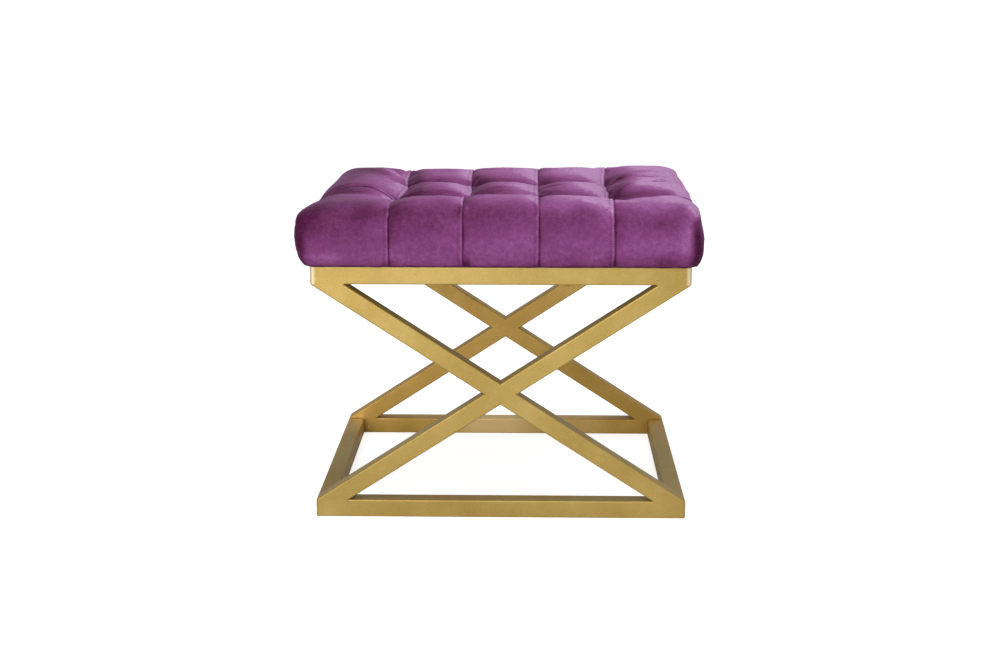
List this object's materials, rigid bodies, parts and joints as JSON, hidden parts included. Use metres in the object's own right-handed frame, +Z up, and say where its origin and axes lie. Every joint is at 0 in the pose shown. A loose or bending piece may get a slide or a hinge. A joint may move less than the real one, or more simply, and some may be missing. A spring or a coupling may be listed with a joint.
{
  "type": "pouf",
  "caption": "Low upholstered stool: a biscuit-tufted velvet cushion on two flat crossed frames of square metal tube, joined by side rails.",
  "frame": {"origin": "On the floor, under the middle of the frame's footprint.", "axes": "+Z up; X is the width, along the long side of the seat; the front X frame is on the -Y side and the rear one on the +Y side."},
  "size_m": [0.553, 0.464, 0.444],
  "materials": {
    "velvet": "matte",
    "wadding": "matte",
    "foam": "matte",
    "plywood": "matte",
    "calico": "matte",
    "twine": "matte",
    "dust_cloth": "matte",
    "gold_paint": "satin",
    "zinc": "satin"
  },
  "bodies": {
    "root": {"seat_cover": "velvet", "wadding_layer": "wadding", "foam_block": "foam", "seat_board": "plywood", "tufting_twines": "twine", "tuft_washers": "zinc", "front_pull_strip": "calico", "rear_pull_strip": "calico", "left_pull_strip": "calico", "right_pull_strip": "calico", "cover_staples": "zinc", "dust_cover": "dust_cloth", "dust_cover_staples": "zinc", "seat_bolts": "zinc", "seat_bolt_washers": "zinc", "seat_tee_nuts": "zinc", "front_bottom_rail": "gold_paint", "front_top_rail": "gold_paint", "rear_bottom_rail": "gold_paint", "rear_top_rail": "gold_paint", "front_bottom_left_end_cap": "gold_paint", "front_bottom_right_end_cap": "gold_paint", "front_top_left_end_cap": "gold_paint", "front_top_right_end_cap": "gold_paint", "rear_bottom_left_end_cap": "gold_paint", "rear_bottom_right_end_cap": "gold_paint", "rear_top_left_end_cap": "gold_paint", "rear_top_right_end_cap": "gold_paint", "front_long_diagonal": "gold_paint", "front_upper_half_diagonal": "gold_paint", "front_lower_half_diagonal": "gold_paint", "rear_long_diagonal": "gold_paint", "rear_upper_half_diagonal": "gold_paint", "rear_lower_half_diagonal": "gold_paint", "front_frame_welds": "gold_paint", "rear_frame_welds": "gold_paint", "left_bottom_side_rail": "gold_paint", "left_top_side_rail": "gold_paint", "right_bottom_side_rail": "gold_paint", "right_top_side_rail": "gold_paint", "front_bottom_left_spigot": "gold_paint", "front_bottom_right_spigot": "gold_paint", "front_top_left_spigot": "gold_paint", "front_top_right_spigot": "gold_paint", "rear_bottom_left_spigot": "gold_paint", "rear_bottom_right_spigot": "gold_paint", "rear_top_left_spigot": "gold_paint", "rear_top_right_spigot": "gold_paint", "rail_screws": "zinc"}
  },
  "joints": []
}
